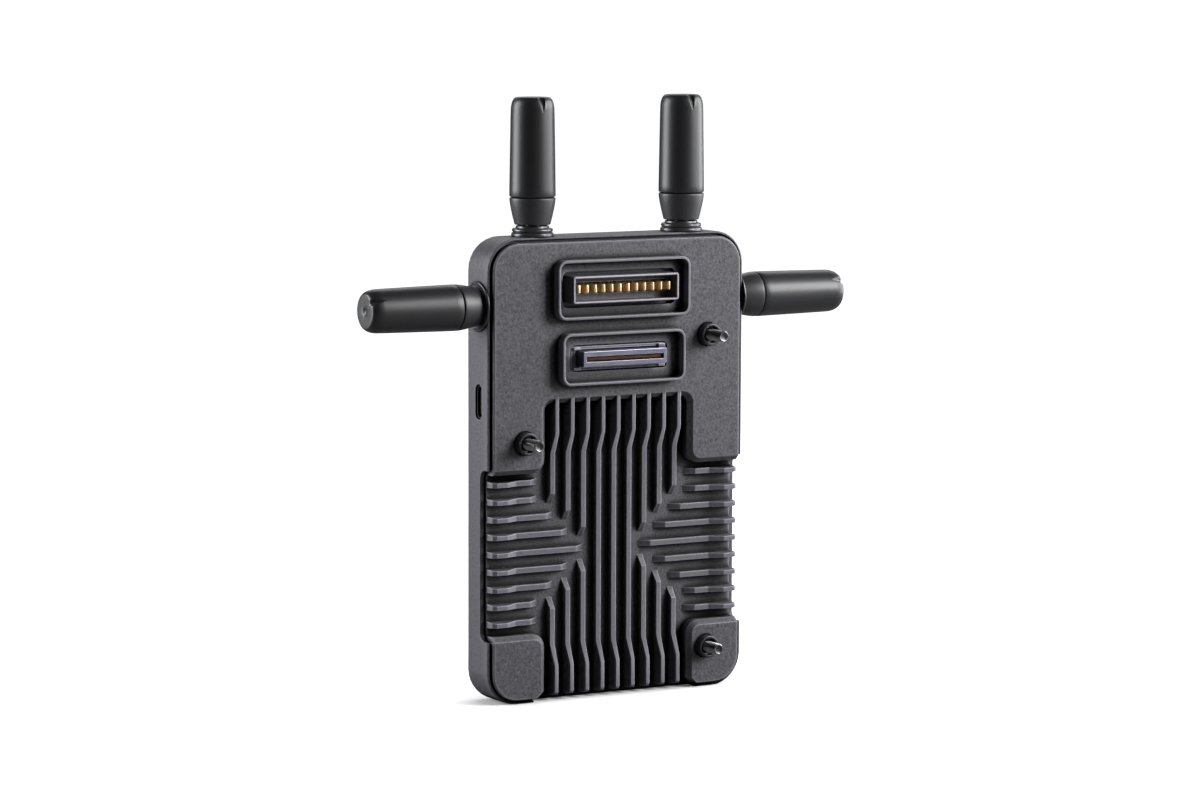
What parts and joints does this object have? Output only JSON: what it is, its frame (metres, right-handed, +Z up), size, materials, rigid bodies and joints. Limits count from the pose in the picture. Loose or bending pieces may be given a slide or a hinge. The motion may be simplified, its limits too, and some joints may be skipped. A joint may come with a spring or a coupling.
{
  "type": "wireless receiver unit",
  "caption": "Slim upright metal radio unit: finned cooling face with two docking connectors, captive fixing screws and stub antennas on its top and sides.",
  "frame": {"origin": "centre of the unit's bottom edge: on the floor plane, midway between the sides and at mid thickness of the case, 7 mm behind the interface face plane", "axes": "+Z up along the unit's height, +X to the right when looking at the finned interface face, +Y from that face toward the flat back"},
  "size_m": [0.1444, 0.0216, 0.1597],
  "materials": {
    "shell_paint": "fine-textured satin paint over cast aluminium",
    "plate_paint": "fine-textured satin paint over cast aluminium",
    "gasket_rubber": "matt black elastomer bead",
    "board_green": "solder-masked board",
    "shield_tin": "tinned sheet",
    "chip_black": "matt moulded package",
    "pad_grey": "soft heat-conducting pad",
    "socket_black": "moulded connector body",
    "contact_gold": "gold-plated contact",
    "connector_steel": "plated steel shell",
    "tongue_copper": "darkened contact tongue",
    "screw_steel": "dark plated steel",
    "sleeve_black": "black anodised sleeve",
    "ring_black": "black satin metal",
    "collar_black": "black satin plastic",
    "antenna_black": "black satin moulded plastic",
    "stem_nickel": "black nickel plated turned metal"
  },
  "bodies": {
    "case": {"outer_shell": "shell_paint", "heat_sink_plate": "plate_paint", "seam_gasket_upper": "gasket_rubber", "seam_gasket_lower_left": "gasket_rubber", "seam_gasket_lower_right": "gasket_rubber", "main_board": "board_green", "rf_shield_can": "shield_tin", "processor_chip": "chip_black", "thermal_pad": "pad_grey", "power_connector_body": "socket_black", "power_contact_01": "contact_gold", "power_contact_02": "contact_gold", "power_contact_03": "contact_gold", "power_contact_04": "contact_gold", "power_contact_05": "contact_gold", "power_contact_06": "contact_gold", "power_contact_07": "contact_gold", "power_contact_08": "contact_gold", "power_contact_09": "contact_gold", "power_contact_10": "contact_gold", "power_contact_11": "contact_gold", "power_contact_12": "contact_gold", "data_connector_base": "socket_black", "data_connector_shell": "connector_steel", "data_connector_tongue": "tongue_copper", "data_connector_tab_1": "connector_steel", "data_connector_tab_2": "connector_steel", "data_connector_tab_3": "connector_steel", "data_connector_tab_4": "connector_steel", "usb_c_shell": "connector_steel", "usb_c_tongue": "socket_black", "captive_screw_sleeve_1": "sleeve_black", "captive_screw_sleeve_2": "sleeve_black", "captive_screw_sleeve_3": "sleeve_black", "case_screw_1": "screw_steel", "case_screw_2": "screw_steel", "case_screw_3": "screw_steel", "case_screw_4": "screw_steel", "antenna_ring_top_left": "ring_black", "antenna_ring_top_right": "ring_black", "antenna_ring_side_left": "ring_black", "antenna_ring_side_right": "ring_black"},
    "antenna_top_left": {"antenna_collar_top_left": "collar_black", "antenna_sleeve_top_left": "antenna_black", "antenna_core_top_left": "stem_nickel"},
    "antenna_top_right": {"antenna_collar_top_right": "collar_black", "antenna_sleeve_top_right": "antenna_black", "antenna_core_top_right": "stem_nickel"},
    "antenna_side_left": {"antenna_collar_side_left": "collar_black", "antenna_sleeve_side_left": "antenna_black", "antenna_core_side_left": "stem_nickel"},
    "antenna_side_right": {"antenna_collar_side_right": "collar_black", "antenna_sleeve_side_right": "antenna_black", "antenna_core_side_right": "stem_nickel"},
    "screw_travel_1": {"captive_screw_retainer_1": "screw_steel"},
    "screw_turn_1": {"captive_screw_1": "screw_steel"},
    "screw_travel_2": {"captive_screw_retainer_2": "screw_steel"},
    "screw_turn_2": {"captive_screw_2": "screw_steel"},
    "screw_travel_3": {"captive_screw_retainer_3": "screw_steel"},
    "screw_turn_3": {"captive_screw_3": "screw_steel"}
  },
  "joints": [
    {"name": "antenna_swivel_top_left", "type": "hinge", "parent": "case", "child": "antenna_top_left", "pos_m": [-0.0228, -0.0007, 0.1232], "axis": [0, 0, 1], "continuous": true},
    {"name": "antenna_swivel_top_right", "type": "hinge", "parent": "case", "child": "antenna_top_right", "pos_m": [0.0228, -0.0007, 0.1232], "axis": [0, 0, 1], "continuous": true},
    {"name": "antenna_swivel_side_left", "type": "hinge", "parent": "case", "child": "antenna_side_left", "pos_m": [-0.039, -0.0007, 0.1053], "axis": [-1, 0, 0], "continuous": true},
    {"name": "antenna_swivel_side_right", "type": "hinge", "parent": "case", "child": "antenna_side_right", "pos_m": [0.039, -0.0007, 0.1053], "axis": [1, 0, 0], "continuous": true},
    {"name": "screw_back_out_1", "type": "slide", "parent": "case", "child": "screw_travel_1", "axis": [0, 1, 0], "range_m": [0, 0.003]},
    {"name": "screw_rotation_1", "type": "hinge", "parent": "screw_travel_1", "child": "screw_turn_1", "pos_m": [0.0274, -0.007, 0.0957], "axis": [0, 1, 0], "range_deg": [0, 2161]},
    {"name": "screw_back_out_2", "type": "slide", "parent": "case", "child": "screw_travel_2", "axis": [0, 1, 0], "range_m": [0, 0.003]},
    {"name": "screw_rotation_2", "type": "hinge", "parent": "screw_travel_2", "child": "screw_turn_2", "pos_m": [-0.0285, -0.007, 0.0693], "axis": [0, 1, 0], "range_deg": [0, 2161]},
    {"name": "screw_back_out_3", "type": "slide", "parent": "case", "child": "screw_travel_3", "axis": [0, 1, 0], "range_m": [0, 0.003]},
    {"name": "screw_rotation_3", "type": "hinge", "parent": "screw_travel_3", "child": "screw_turn_3", "pos_m": [0.0272, -0.007, 0.0112], "axis": [0, 1, 0], "range_deg": [0, 2161]}
  ],
  "couplings": [
    {"joint": "screw_rotation_1", "follows": "screw_back_out_1", "rad_per_m": 12566},
    {"joint": "screw_rotation_2", "follows": "screw_back_out_2", "rad_per_m": 12566},
    {"joint": "screw_rotation_3", "follows": "screw_back_out_3", "rad_per_m": 12566}
  ]
}
